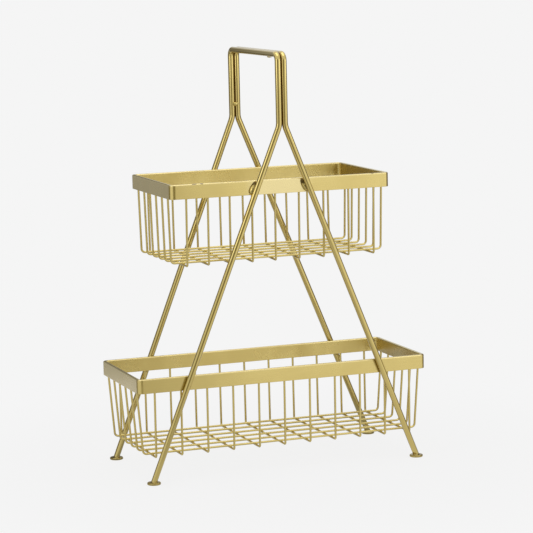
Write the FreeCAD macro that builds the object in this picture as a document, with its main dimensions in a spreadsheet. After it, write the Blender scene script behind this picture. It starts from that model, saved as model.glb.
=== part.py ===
# Two-tier wire basket: two bent rods make the handle and the four legs, and carry two baskets of wire.
# Millimetres. Origin on the floor under the middle, +X along the baskets, -Y to the front, +Z up.
import FreeCAD
import Part
import Sketcher

import math
import os

# Driving dimensions, one row each: the name and the value.
SIZES = [
    # Rods of handle and legs
    ("rod_diameter", 8.0),
    ("rod_seam", 0.1),              # air between the two rods where they run side by side
    ("overall_height", 556.0),
    ("handle_depth", 180.0),        # front to back, between rod axes at the handle
    ("handle_corner_radius", 9.0),  # on the rod axis
    ("upright_length", 93.0),       # grip axis down to where the leg axis leaves the line of the upright
    ("splay_radius", 25.0),         # on the rod axis
    ("foot_spread", 376.0),         # left to right, between leg axes at the floor
    ("leg_toe_in", 6.5),            # how far each leg comes in from the handle's depth, at the floor
    # Feet
    ("foot_diameter", 18.0),
    ("foot_thickness", 3.0),
    ("foot_edge_rounding", 1.0),
    # Rims, bent from flat bar
    ("rim_height", 19.0),
    ("rim_thickness", 4.8),
    ("rim_corner_radius", 7.5),     # outside of the bend
    ("rim_top_rounding", 1.6),
    ("rim_bottom_rounding", 0.5),
    ("rim_leg_gap", 0.1),           # least air between leg and rim, which the weld bridges
    ("upper_rim_length", 307.0),
    ("upper_rim_drop", 69.5),       # splay down to the upper edge
    ("lower_rim_length", 407.5),
    ("lower_rim_rise", 139.0),      # floor up to the upper edge
    # Wires
    ("wire_diameter", 2.8),
    ("wire_seat_gap", 0.05),        # air between long and cross wires where they cross
    ("cross_bend_radius", 3.0),     # on the wire axis
    ("long_bend_radius", 5.0),      # on the wire axis
    ("upper_basket_depth", 108.5),  # rim top to underside of the cross wires
    ("upper_cross_count", 9),
    ("upper_cross_margin", 22.3),   # outside of the rim to the axis of the end wire
    ("upper_cross_lean", 2.0),      # how far each end leans in from rim to floor
    ("upper_cross_front_bow", 8.6),  # middle wire's front end, left of its place in an even row
    ("upper_cross_back_bow", 4.8),  # middle wire's back end, right of its place in an even row
    ("upper_long_count", 6),
    ("upper_long_margin", 21.65),
    ("upper_long_lean", 2.0),
    ("lower_basket_depth", 106.5),
    ("lower_cross_count", 11),
    ("lower_cross_margin", 23.3),
    ("lower_cross_lean", 1.0),
    ("lower_long_count", 6),
    ("lower_long_margin", 18.1),
    ("lower_long_lean", 6.5),
    # Weld beads
    ("bead_tip_diameter", 0.8),     # flat that the rounding leaves at each end of a bead
    ("rim_bead_length", 17.0),      # along the leg, on its left at the upper rim
    ("rim_bead_diameter", 8.4),
    ("rim_bead_rise", 0.8),         # middle of the bead, out from the rim
    ("tack_bead_length", 5.0),      # under the lower rim, behind the leg
    ("tack_bead_diameter", 5.2),
    ("tack_bead_rise", 1.3),        # middle of the bead, out from the rim
    ("handle_bead_length", 7.4),    # across the two rods
    ("handle_bead_diameter", 6.0),
    ("handle_bead_rise", 18.5),     # above the splay, on both uprights
    ("grip_bead_reach", 50.0),      # forward of the middle, under the grip
]

TIERS = ("upper", "lower")
LIE_ACROSS = "90"                   # degrees about Y, from standing to lying along X
SIDES = {"left": -1, "right": 1}
ENDS = {"front": -1, "back": 1}
TRIM_DEPTHS = 2                     # in bar diameters: the run past the cut, and as much again
LEAST_KEPT = 0.5                    # share of a bar's volume that trimming its ends must leave
LEVEL_TOLERANCE = 1e-6
# A placement turned about Y, whose angle an expression then sets.
TILT_ABOUT_Y = FreeCAD.Placement(FreeCAD.Vector(), FreeCAD.Rotation(FreeCAD.Vector(0, 1, 0), 1))
# The same about Z.
TURN_ABOUT_Z = FreeCAD.Placement(FreeCAD.Vector(), FreeCAD.Rotation(FreeCAD.Vector(0, 0, 1), 1))
SHARE_DIGITS = 6                    # of a share that goes into an expression as a number

# Values worked out from the driving dimensions, as expressions.
ROD_RADIUS = "(Sizes.rod_diameter / 2)"
ROD_OFFSET = "((Sizes.rod_diameter + Sizes.rod_seam) / 2)"
GRIP_HEIGHT = f"(Sizes.overall_height - {ROD_RADIUS})"
HANDLE_HALF = "(Sizes.handle_depth / 2)"
SPLAY_HEIGHT = f"({GRIP_HEIGHT} - Sizes.upright_length)"
UPRIGHT_MIDDLE = f"({GRIP_HEIGHT} - Sizes.upright_length / 2)"
LEG_OUT = f"(Sizes.foot_spread / 2 - {ROD_OFFSET})"
LEG_RUN = f"sqrt({LEG_OUT} ^ 2 + Sizes.leg_toe_in ^ 2)"
LEG_TOE = f"atan2(Sizes.leg_toe_in; {LEG_OUT})"
LEG_LEAN = f"atan2({LEG_OUT}; {SPLAY_HEIGHT})"
WIRE_RADIUS = "(Sizes.wire_diameter / 2)"
WIRE_INSET = f"(Sizes.rim_thickness - {WIRE_RADIUS})"
RIM_TOPS = {
    "upper": f"({SPLAY_HEIGHT} - Sizes.upper_rim_drop)",
    "lower": "Sizes.lower_rim_rise",
}


def leg_out_at(height):
    """Expression for how far left or right of the middle a leg's axis is at a height."""
    return f"({ROD_OFFSET} + {LEG_OUT} * (1 - {height} / {SPLAY_HEIGHT}))"


def leg_depth_at(height):
    """Expression for how far in front of or behind the middle a leg's axis is at a height."""
    return f"({HANDLE_HALF} - Sizes.leg_toe_in * (1 - {height} / {SPLAY_HEIGHT}))"


def rim_bottom(tier):
    """Expression for the height of a rim's lower edge."""
    return f"({RIM_TOPS[tier]} - Sizes.rim_height)"


def rim_half_length(tier):
    """Expression for half of a rim's outside length."""
    return f"(Sizes.{tier}_rim_length / 2)"


def rim_half_depth(tier):
    """Expression for half of a rim's outside depth, which clears the legs at the rim's lower edge."""
    return f"({leg_depth_at(rim_bottom(tier))} - {ROD_RADIUS} - Sizes.rim_leg_gap)"


def cross_floor(tier):
    """Expression for the height of the cross wires' axis along a basket's floor."""
    return f"({RIM_TOPS[tier]} - Sizes.{tier}_basket_depth + {WIRE_RADIUS})"


def long_floor(tier):
    """Expression for the height of the long wires' axis, where they lie on the cross wires."""
    return f"({cross_floor(tier)} + Sizes.wire_diameter + Sizes.wire_seat_gap)"


def signed(sign, expression):
    """Expression times a sign."""
    return f"({sign} * {expression})"


def number(expression):
    """Value of an expression, worked out by the sheet."""
    return float(sheet.evalExpression(expression))


def make_sheet():
    """Makes the spreadsheet of driving dimensions."""
    made = doc.addObject("Spreadsheet::Sheet", "Sizes")
    for row, (alias, value) in enumerate(SIZES, start=1):
        made.set(f"A{row}", alias)
        made.set(f"B{row}", str(value))
        made.setAlias(f"B{row}", alias)
    doc.recompute()
    return made


def make_body(label):
    """Makes an empty body with its label."""
    body = doc.addObject("PartDesign::Body", label)
    body.Label = label
    return body


def make_sketch(body, role, raise_by="0"):
    """Makes a sketch on one of the body's origin planes, raised along the plane's normal."""
    plane = next(feature for feature in body.Origin.OriginFeatures if feature.Role == role)
    sketch = body.newObject("Sketcher::SketchObject", f"{body.Label}_sketch")
    sketch.AttachmentSupport = (plane, [""])
    sketch.MapMode = "FlatFace"
    sketch.setExpression("AttachmentOffset.Base.z", raise_by)
    return sketch


def drive(sketch, kind, *where, by):
    """Adds a dimension to a sketch and binds it to an expression."""
    index = sketch.addConstraint(Sketcher.Constraint(kind, *where, number(by)))
    sketch.setExpression(f"Constraints[{index}]", by)


def fix_point(sketch, geometry, point, place):
    """Fixes a point of a sketch at a place given as two expressions."""
    drive(sketch, "DistanceX", -1, 1, geometry, point, by=place[0])
    drive(sketch, "DistanceY", -1, 1, geometry, point, by=place[1])


def draw_circle(sketch, place, radius):
    """Draws a circle at a place given as two expressions."""
    centre = FreeCAD.Vector(number(place[0]), number(place[1]))
    circle = sketch.addGeometry(Part.Circle(centre, FreeCAD.Vector(0, 0, 1), number(radius)))
    drive(sketch, "Radius", circle, by=radius)
    fix_point(sketch, circle, 3, place)


def draw_path(sketch, corners, radius, closed=False):
    """Draws straight runs from corner to corner, each given as two expressions, with a tangent bend at each.

    An open path starts and ends at its first and last corners, which have no bend.
    """
    points = [FreeCAD.Vector(number(x), number(y)) for x, y in corners]
    count = len(points)
    bent = range(count) if closed else range(1, count - 1)
    size = number(radius)
    leaves = dict(enumerate(points))
    reaches = dict(enumerate(points))
    arcs = {}
    for i in bent:
        back = (points[i - 1] - points[i]).normalize()
        onward = (points[(i + 1) % count] - points[i]).normalize()
        half_angle = back.getAngle(onward) / 2
        reaches[i] = points[i] + back * (size / math.tan(half_angle))
        leaves[i] = points[i] + onward * (size / math.tan(half_angle))
        centre = points[i] + (back + onward).normalize() * (size / math.sin(half_angle))
        turns_left = onward.cross(back).z > 0
        first, last = (reaches[i], leaves[i]) if turns_left else (leaves[i], reaches[i])
        start = math.atan2(first.y - centre.y, first.x - centre.x)
        sweep = math.pi - 2 * half_angle
        circle = Part.Circle(centre, FreeCAD.Vector(0, 0, 1), size)
        arc = sketch.addGeometry(Part.ArcOfCircle(circle, start, start + sweep))
        arcs[i] = (arc, 1, 2) if turns_left else (arc, 2, 1)
        drive(sketch, "Radius", arc, by=radius)
    run_starts = range(count) if closed else range(count - 1)
    runs = {}
    for i in run_starts:
        after = (i + 1) % count
        runs[i] = sketch.addGeometry(Part.LineSegment(leaves[i], reaches[after]))
    for i in bent:
        arc, arc_start, arc_end = arcs[i]
        before = (i - 1) % count
        sketch.addConstraint(Sketcher.Constraint("Tangent", runs[before], 2, arc, arc_start))
        sketch.addConstraint(Sketcher.Constraint("Tangent", arc, arc_end, runs[i], 1))
        corner = sketch.addGeometry(Part.Point(points[i]), True)
        sketch.addConstraint(Sketcher.Constraint("PointOnObject", corner, 1, runs[before]))
        sketch.addConstraint(Sketcher.Constraint("PointOnObject", corner, 1, runs[i]))
        fix_point(sketch, corner, 1, corners[i])
    if not closed:
        fix_point(sketch, runs[0], 1, corners[0])
        fix_point(sketch, runs[count - 2], 2, corners[-1])


def add_pipe(body, profile, path):
    """Adds to a body the pipe of a profile along the whole of a path."""
    doc.recompute()
    pipe = body.newObject("PartDesign::AdditivePipe", f"{body.Label}_pipe")
    pipe.Profile = profile
    pipe.Spine = (path, [f"Edge{i}" for i, _ in enumerate(path.Shape.Edges, start=1)])


def add_pad(body, sketch, length):
    """Adds to a body the pad of a sketch."""
    pad = body.newObject("PartDesign::Pad", f"{body.Label}_pad")
    pad.Profile = sketch
    pad.setExpression("Length", length)
    doc.recompute()
    return pad


def add_rounding(body, base, height, radius):
    """Rounds every edge of the base feature that lies flat at a height above the body's origin."""
    level = number(height)
    names = []
    for i, edge in enumerate(base.Shape.Edges, start=1):
        box = edge.BoundBox
        if max(abs(box.ZMin - level), abs(box.ZMax - level)) < LEVEL_TOLERANCE:
            names.append(f"Edge{i}")
    fillet = body.newObject("PartDesign::Fillet", f"{body.Label}_rounding")
    fillet.Base = (base, names)
    fillet.setExpression("Radius", radius)
    doc.recompute()
    return fillet


def make_hoop(label, side):
    """Makes one bent rod: front leg, upright, grip, upright and back leg."""
    body = make_body(label)
    body.setExpression("Placement.Base.x", signed(side, ROD_OFFSET))
    handle = make_sketch(body, "YZ_Plane")
    front = signed(-1, HANDLE_HALF)
    draw_path(handle, [
        (front, UPRIGHT_MIDDLE),
        (front, GRIP_HEIGHT),
        (HANDLE_HALF, GRIP_HEIGHT),
        (HANDLE_HALF, UPRIGHT_MIDDLE),
    ], "Sizes.handle_corner_radius")
    section = make_sketch(body, "XY_Plane", UPRIGHT_MIDDLE)
    draw_circle(section, ("0", front), ROD_RADIUS)
    add_pipe(body, section, handle)
    overrun = f"(1 + Sizes.rod_diameter / {SPLAY_HEIGHT})"
    for end in ENDS.values():
        leg = make_sketch(body, "XZ_Plane", signed(-end, HANDLE_HALF))
        leg.AttachmentOffset = TILT_ABOUT_Y
        leg.setExpression("AttachmentOffset.Rotation.Angle", signed(-end * side, LEG_TOE))
        draw_path(leg, [
            ("0", UPRIGHT_MIDDLE),
            ("0", SPLAY_HEIGHT),
            (f"({signed(side, LEG_RUN)} * {overrun})", "(-1 * Sizes.rod_diameter)"),
        ], "Sizes.splay_radius")
        section = make_sketch(body, "XY_Plane", UPRIGHT_MIDDLE)
        draw_circle(section, ("0", signed(end, HANDLE_HALF)), ROD_RADIUS)
        add_pipe(body, section, leg)
    reach = "(Sizes.foot_spread + Sizes.handle_depth)"
    depth = f"({TRIM_DEPTHS} * Sizes.rod_diameter + Sizes.foot_thickness)"
    trim(body, "Sizes.foot_thickness", reach, depth, above=False)
    return body


def trim(body, level, reach, depth, above):
    """Cuts off flat what a body has above or below a level, within a reach of its origin."""
    doc.recompute()
    whole = body.Shape.Volume
    cut_line = make_sketch(body, "XY_Plane", level)
    draw_circle(cut_line, ("0", "0"), reach)
    pocket = body.newObject("PartDesign::Pocket", f"{body.Label}_trim")
    pocket.Profile = cut_line
    pocket.Reversed = above
    pocket.setExpression("Length", depth)
    doc.recompute()
    if not whole * LEAST_KEPT < body.Shape.Volume < whole:
        raise RuntimeError(f"{body.Label}: ends not trimmed")


def add_rounded_disc(body, diameter, bottom, height, rounding):
    """Adds to a body a disc about its Z axis, with both edges rounded."""
    outline = make_sketch(body, "XY_Plane", bottom)
    draw_circle(outline, ("0", "0"), f"({diameter} / 2)")
    disc = add_pad(body, outline, height)
    rounded = add_rounding(body, disc, f"({bottom} + {height})", rounding)
    add_rounding(body, rounded, bottom, rounding)


def make_foot(label, side, end):
    """Makes one foot: a flat disc, centred where the leg meets its top."""
    body = make_body(label)
    body.setExpression("Placement.Base.x", signed(side, leg_out_at("Sizes.foot_thickness")))
    body.setExpression("Placement.Base.y", signed(end, leg_depth_at("Sizes.foot_thickness")))
    add_rounded_disc(body, "Sizes.foot_diameter", "0", "Sizes.foot_thickness", "Sizes.foot_edge_rounding")
    return body


def make_rim(label, tier):
    """Makes one rim: flat bar on edge, bent into a rectangle with round corners."""
    body = make_body(label)
    body.setExpression("Placement.Base.z", rim_bottom(tier))
    plan = make_sketch(body, "XY_Plane")
    for inset in ("0", "Sizes.rim_thickness"):
        x = f"({rim_half_length(tier)} - {inset})"
        y = f"({rim_half_depth(tier)} - {inset})"
        corners = [(signed(i, x), signed(j, y)) for i, j in ((-1, -1), (1, -1), (1, 1), (-1, 1))]
        draw_path(plan, corners, f"(Sizes.rim_corner_radius - {inset})", closed=True)
    bar = add_pad(body, plan, "Sizes.rim_height")
    rounded = add_rounding(body, bar, "Sizes.rim_height", "Sizes.rim_top_rounding")
    add_rounding(body, rounded, "0", "Sizes.rim_bottom_rounding")
    return body


def make_wire(label, tier, role, half_span, floor, bend, lean):
    """Makes one wire: down from the rim, along the floor and up again, with both ends cut level.

    The half span is from the middle to the outside of the rim, role names the plane of the wire, and
    the lean is how far each end comes in from rim to floor.
    """
    body = make_body(label)
    end_level = rim_bottom(tier)
    start_level = f"({end_level} + Sizes.wire_diameter)"
    bottom = f"({half_span} - {WIRE_INSET} - {lean})"
    top = f"({bottom} + {lean} * ({start_level} - {floor}) / ({end_level} - {floor}))"
    path = make_sketch(body, role)
    draw_path(path, [
        (signed(-1, top), start_level),
        (signed(-1, bottom), floor),
        (bottom, floor),
        (top, start_level),
    ], bend)
    section = make_sketch(body, "XY_Plane", start_level)
    start = signed(-1, top)
    draw_circle(section, (start, "0") if role == "XZ_Plane" else ("0", start), WIRE_RADIUS)
    add_pipe(body, section, path)
    reach = f"({half_span} + Sizes.wire_diameter)"
    trim(body, end_level, reach, f"({TRIM_DEPTHS} * Sizes.wire_diameter)", above=True)
    return body


def make_wires(tier, run, axis, role, half_span, half_row, floor, bow=None):
    """Makes one layer of a basket's wires, evenly spaced along an axis about the middle.

    The half row is from the middle to the outside of the rim, along that axis. A bow sets cross wires
    askew, most in the middle of the row: how far the middle wire's front end moves left, and its back end
    right.
    """
    reach = f"({half_row} - Sizes.{tier}_{run}_margin)"
    count = round(number(f"Sizes.{tier}_{run}_count"))
    wires = []
    for i in range(count):
        label = f"{tier}_{run}_wire_{i + 1}"
        bend = f"Sizes.{run}_bend_radius"
        lean = f"Sizes.{tier}_{run}_lean"
        wire = make_wire(label, tier, role, half_span, floor, bend, lean)
        place = f"(2 * {i} / ({count} - 1) - 1) * {reach}"
        if bow:
            front, back = bow
            share = round(math.sin(math.pi * i / (count - 1)), SHARE_DIGITS)
            place += f" + {share} * ({back} - {front}) / 2"
            wire.Placement = TURN_ABOUT_Z
            skew = f"atan2({share} * ({front} + {back}); 2 * ({half_span} - {WIRE_INSET}))"
            wire.setExpression("Placement.Rotation.Angle", signed(-1, skew))
        wire.setExpression(f"Placement.Base.{axis}", place)
        wires.append(wire)
    return wires


def make_bead(name, kind, place, tilt, cutters):
    """Makes one weld bead: a pill at a place given as three expressions, less the pieces it joins.

    The pill stands along Z before it is tilted about Y, and kind names its rows in the sheet.
    """
    diameter = f"Sizes.{kind}_bead_diameter"
    length = f"Sizes.{kind}_bead_length"
    pill = make_body(f"{name}_pill")
    rounding = f"((min({diameter}; {length}) - Sizes.bead_tip_diameter) / 2)"
    add_rounded_disc(pill, diameter, f"(-1 * {length} / 2)", length, rounding)
    pill.Placement = TILT_ABOUT_Y
    pill.setExpression("Placement.Rotation.Angle", tilt)
    for axis, value in zip("xyz", place):
        pill.setExpression(f"Placement.Base.{axis}", value)
    bead = pill
    for cutter in cutters:
        cut = doc.addObject("Part::Cut", f"{name}_cut")
        cut.Base = bead
        cut.Tool = cutter
        bead = cut
    return bead


def group(label, beads):
    """Groups beads into one sub-part."""
    compound = doc.addObject("Part::Compound", label)
    compound.Label = label
    compound.Links = beads
    return compound


def make_upper_rim_welds(hoops, rim):
    """Makes the beads along the left of each leg where it passes the upper rim."""
    middle = f"({rim_bottom('upper')} + Sizes.rim_height / 2)"
    beside = f"({ROD_RADIUS} / cos({LEG_LEAN}))"
    beads = []
    for side_name, side in SIDES.items():
        for end_name, end in ENDS.items():
            place = (
                f"{signed(side, leg_out_at(middle))} - {beside}",
                signed(end, f"({rim_half_depth('upper')} + Sizes.rim_bead_rise)"),
                middle,
            )
            name = f"upper_{end_name}_{side_name}_bead"
            lean = signed(-side, LEG_LEAN)
            beads.append(make_bead(name, "rim", place, lean, (hoops[side_name], rim)))
    return group("upper_rim_welds", beads)


def make_lower_rim_welds(hoops, rim):
    """Makes the tacks under the lower rim, in the corner between it and each leg."""
    level = rim_bottom("lower")
    beads = []
    for side_name, side in SIDES.items():
        for end_name, end in ENDS.items():
            place = (
                signed(side, leg_out_at(level)),
                signed(end, f"({rim_half_depth('lower')} + Sizes.tack_bead_rise)"),
                level,
            )
            name = f"lower_{end_name}_{side_name}_bead"
            beads.append(make_bead(name, "tack", place, "0", (hoops[side_name], rim)))
    return group("lower_rim_welds", beads)


def make_handle_welds(hoops):
    """Makes the beads that bridge the two rods: inside both uprights, and under the grip."""
    inner_face = f"({HANDLE_HALF} - {ROD_RADIUS})"
    level = f"({SPLAY_HEIGHT} + Sizes.handle_bead_rise)"
    places = {
        "front_upright_bead": ("0", signed(-1, inner_face), level),
        "back_upright_bead": ("0", inner_face, level),
        "grip_bead": ("0", "(-1 * Sizes.grip_bead_reach)", f"({GRIP_HEIGHT} - {ROD_RADIUS})"),
    }
    cutters = tuple(hoops.values())
    beads = [make_bead(name, "handle", place, LIE_ACROSS, cutters) for name, place in places.items()]
    return group("handle_welds", beads)


def make_sub_parts():
    """Makes every sub-part of the basket."""
    hoops = {name: make_hoop(f"{name}_hoop", side) for name, side in SIDES.items()}
    sub_parts = list(hoops.values())
    for side_name, side in SIDES.items():
        for end_name, end in ENDS.items():
            sub_parts.append(make_foot(f"foot_{end_name}_{side_name}", side, end))
    rims = {tier: make_rim(f"{tier}_rim", tier) for tier in TIERS}
    sub_parts.extend(rims.values())
    bows = {"upper": ("Sizes.upper_cross_front_bow", "Sizes.upper_cross_back_bow")}
    for tier in TIERS:
        length = rim_half_length(tier)
        depth = rim_half_depth(tier)
        bow = bows.get(tier)
        sub_parts += make_wires(tier, "cross", "x", "YZ_Plane", depth, length, cross_floor(tier), bow)
        sub_parts += make_wires(tier, "long", "y", "XZ_Plane", length, depth, long_floor(tier))
    sub_parts.append(make_upper_rim_welds(hoops, rims["upper"]))
    sub_parts.append(make_lower_rim_welds(hoops, rims["lower"]))
    sub_parts.append(make_handle_welds(hoops))
    doc.recompute()
    return sub_parts


def check_document(sub_parts):
    """Stops if any object failed to build or any sub-part's shape is missing or not valid."""
    for item in doc.Objects:
        if "Invalid" in item.State or "Error" in item.State:
            raise RuntimeError(f"{item.Label}: {item.State}")
    for item in sub_parts:
        if item.Shape.isNull() or not item.Shape.isValid() or not item.Shape.Solids:
            raise RuntimeError(f"{item.Label}: no valid solid")


def write_parts(sub_parts):
    """Writes each sub-part to its own file."""
    os.makedirs("parts", exist_ok=True)
    for item in sub_parts:
        item.Shape.exportStep(f"parts/{item.Label}.step")
        box = item.Shape.BoundBox
        print(f"{item.Label}: {len(item.Shape.Solids)} solid, {item.Shape.Volume:.0f} mm3, "
              f"z {box.ZMin:.2f} to {box.ZMax:.2f}")


doc = FreeCAD.newDocument("TieredWireBasket")
sheet = make_sheet()
basket = make_sub_parts()
check_document(basket)
write_parts(basket)
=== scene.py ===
"""Looks of the tiered wire basket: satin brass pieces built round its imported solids.

Lengths are metres in the solids' own frame: origin on the floor under the middle, +X along the baskets,
-Y to the front, +Z up.
"""

import logging
import math
from dataclasses import dataclass, replace
from enum import Enum
from typing import Callable, ClassVar

import bmesh
import bpy
from mathutils import Matrix, Vector, noise


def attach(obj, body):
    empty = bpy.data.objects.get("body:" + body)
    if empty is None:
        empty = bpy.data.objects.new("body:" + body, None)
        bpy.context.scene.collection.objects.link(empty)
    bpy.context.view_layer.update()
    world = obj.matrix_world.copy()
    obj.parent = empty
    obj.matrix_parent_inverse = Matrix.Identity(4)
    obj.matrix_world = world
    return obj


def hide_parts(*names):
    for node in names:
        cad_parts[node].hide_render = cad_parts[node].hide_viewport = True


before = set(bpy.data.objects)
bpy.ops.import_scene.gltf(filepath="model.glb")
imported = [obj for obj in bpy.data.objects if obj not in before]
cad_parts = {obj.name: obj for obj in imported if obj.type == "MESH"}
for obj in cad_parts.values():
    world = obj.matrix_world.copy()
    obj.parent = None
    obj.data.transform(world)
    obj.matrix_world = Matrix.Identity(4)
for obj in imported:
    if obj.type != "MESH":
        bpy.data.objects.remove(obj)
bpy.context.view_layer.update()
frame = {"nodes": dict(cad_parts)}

LOG = logging.getLogger("tiered_wire_basket")
BODY = "root"
MM = 0.001
SIDES = {"left": -1, "right": 1}
ENDS = {"front": -1, "back": 1}
LEGS = [(side, end) for side in SIDES.values() for end in ENDS.values()]

Point = tuple[float, float, float]
Colour = tuple[float, float, float]
Span = tuple[float, float]
Rings = list[list[Vector]]
Corners = list[tuple[Point, float]]
Socket = bpy.types.NodeSocket
Material = bpy.types.Material
Mesh = bpy.types.Mesh

UPPER_RIM_TOP = 389.5 * MM
LOWER_RIM_TOP = 139.0 * MM
WHOLE: Span = (0.0, 1.0)
WHITE = (1.0, 1.0, 1.0, 1.0)
ALL_ALONG = 2.0  # metres, well past the ends of any piece


class Grain(Enum):
    """Where a finish takes its pattern's coordinates from."""

    ALONG_BAR = "along_bar"
    ALL_ROUND = "all_round"


class Stain(Enum):
    """The kinds of darkening a finish can have: none, painted seam shade, and weld heat tint with painted
    shade.
    """

    NONE = "none"
    SEAM = "seam"
    BURN = "burn_and_shade"


class Section(Enum):
    """Cross-section of a bent bar."""

    ROUND = "round"
    FLAT = "flat"


class Nodes:
    """Adds and joins the nodes of one tree."""

    def __init__(self, tree: bpy.types.NodeTree) -> None:
        """Keeps the tree that the nodes go into."""
        self.tree = tree

    def add(self, kind: str, values: dict | None = None, **settings: object) -> bpy.types.Node:
        """Adds a node and sets or joins its inputs.

        Args:
            kind: Blender's name for the node type.
            values: Input name or index to a plain value, or to the output socket that feeds it.
            settings: Properties of the node itself.

        Returns:
            The new node.
        """
        node = self.tree.nodes.new(kind)
        for name, value in settings.items():
            setattr(node, name, value)
        for key, value in (values or {}).items():
            socket = self._input(node, key)
            if isinstance(value, Socket):
                self.tree.links.new(value, socket)
            else:
                socket.default_value = value
        return node

    @staticmethod
    def _input(node: bpy.types.Node, key: str | int) -> Socket:
        """Finds an input in use, because some nodes hold one of each name per data type.

        Args:
            node: The node.
            key: Name or index of the input.

        Returns:
            The input socket.
        """
        if isinstance(key, int):
            return node.inputs[key]
        return next(socket for socket in node.inputs if socket.name == key and socket.enabled)

    def get(self, kind: str, values: dict | None = None, output: str = "", **settings: object) -> Socket:
        """Adds a node and picks one of its outputs.

        Args:
            kind: Blender's name for the node type.
            values: Its inputs, as add takes them.
            output: Name of the output, or nothing for the first in use.
            settings: Properties of the node itself.

        Returns:
            The output socket.
        """
        node = self.add(kind, values, **settings)
        if output:
            return node.outputs[output]
        return next(socket for socket in node.outputs if socket.enabled)

    def maths(self, operation: str, *values: float | Socket) -> Socket:
        """Works a sum on numbers, each plain or an output socket."""
        return self.get("ShaderNodeMath", dict(enumerate(values)), operation=operation)

    def vector(self, operation: str, *values: Point | Socket) -> Socket:
        """Works a sum on vectors, each plain or an output socket."""
        return self.get("ShaderNodeVectorMath", dict(enumerate(values)), operation=operation)

    def scaled(self, vector: Point | Socket, share: Socket) -> Socket:
        """Multiplies a vector by a number."""
        return self.get("ShaderNodeVectorMath", {"Vector": vector, "Scale": share}, operation="SCALE")

    def clouds(self, place: Socket, size: float, detail: float) -> Socket:
        """Makes a cloudy pattern from 0 to 1, with clouds of a size."""
        return self.get("ShaderNodeTexNoise", {"Vector": place, "Scale": 1 / size, "Detail": detail})

    def ramp(self, value: Socket, start: Span, end: Span, way: str = "LINEAR") -> Socket:
        """Maps a range of numbers onto another, and holds what lies outside at its ends.

        Args:
            value: The number.
            start: Ends of the range that it comes from.
            end: What those two ends become.
            way: Blender's name for the way from one end to the other.

        Returns:
            The mapped number.
        """
        return self.get("ShaderNodeMapRange", {
            "Value": value,
            "From Min": start[0],
            "From Max": start[1],
            "To Min": end[0],
            "To Max": end[1],
        }, interpolation_type=way)

    def close(self, geometry: Socket, finish: Socket) -> None:
        """Ends a Geometry Nodes tree with a smooth, real mesh that has its finish.

        Args:
            geometry: What the tree has made.
            finish: The material.
        """
        smooth = self.get("GeometryNodeSetShadeSmooth", {"Geometry": geometry})
        real = self.get("GeometryNodeRealizeInstances", {"Geometry": smooth})
        done = self.get("GeometryNodeSetMaterial", {"Geometry": real, "Material": finish})
        self.add("NodeGroupOutput", {"Geometry": done})


def add_object(name: str, data: bpy.types.ID) -> bpy.types.Object:
    """Makes an object and puts it in the scene.

    Args:
        name: Its name.
        data: Its mesh, light or camera.

    Returns:
        The object.
    """
    made = bpy.data.objects.new(name, data)
    bpy.context.scene.collection.objects.link(made)
    return made


def mesh_from(name: str, shape: bmesh.types.BMesh, finish: Material) -> Mesh:
    """Makes a mesh from a finished shape.

    Args:
        name: Its name.
        shape: The shape, freed afterwards.
        finish: Its material.

    Returns:
        The mesh.
    """
    mesh = bpy.data.meshes.new(name)
    shape.to_mesh(mesh)
    shape.free()
    mesh.materials.append(finish)
    return mesh


def new_material(name: str) -> tuple[Material, Nodes]:
    """Makes a material with no nodes.

    Args:
        name: Its name.

    Returns:
        The material, and its nodes to add to.
    """
    material = bpy.data.materials.new(name)
    material.use_nodes = True
    material.node_tree.nodes.clear()
    return material, Nodes(material.node_tree)


def new_tree(name: str, inputs: dict[str, str]) -> Nodes:
    """Makes a Geometry Nodes tree with its named inputs.

    Args:
        name: Its name.
        inputs: Input name to kind of socket.

    Returns:
        The tree's nodes to add to.
    """
    tree = bpy.data.node_groups.new(name, "GeometryNodeTree")
    tree.interface.new_socket(name="Geometry", in_out="OUTPUT", socket_type="NodeSocketGeometry")
    for label, kind in inputs.items():
        tree.interface.new_socket(name=label, in_out="INPUT", socket_type=f"NodeSocket{kind}")
    return Nodes(tree)


@dataclass(frozen=True)
class Mark:
    """One oval mark on a finish, used for scuffs, a paler patch, painted shadows and painted highlights: its
    place, size from middle to edge, colour and raggedness.

    A slope carries it to the right as it goes up.
    """

    middle: Point
    reach: Point
    colour: Colour
    strength: float
    raggedness: float
    fade: float
    grit: float = 2.5 * MM
    slope: float = 0.0


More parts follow.
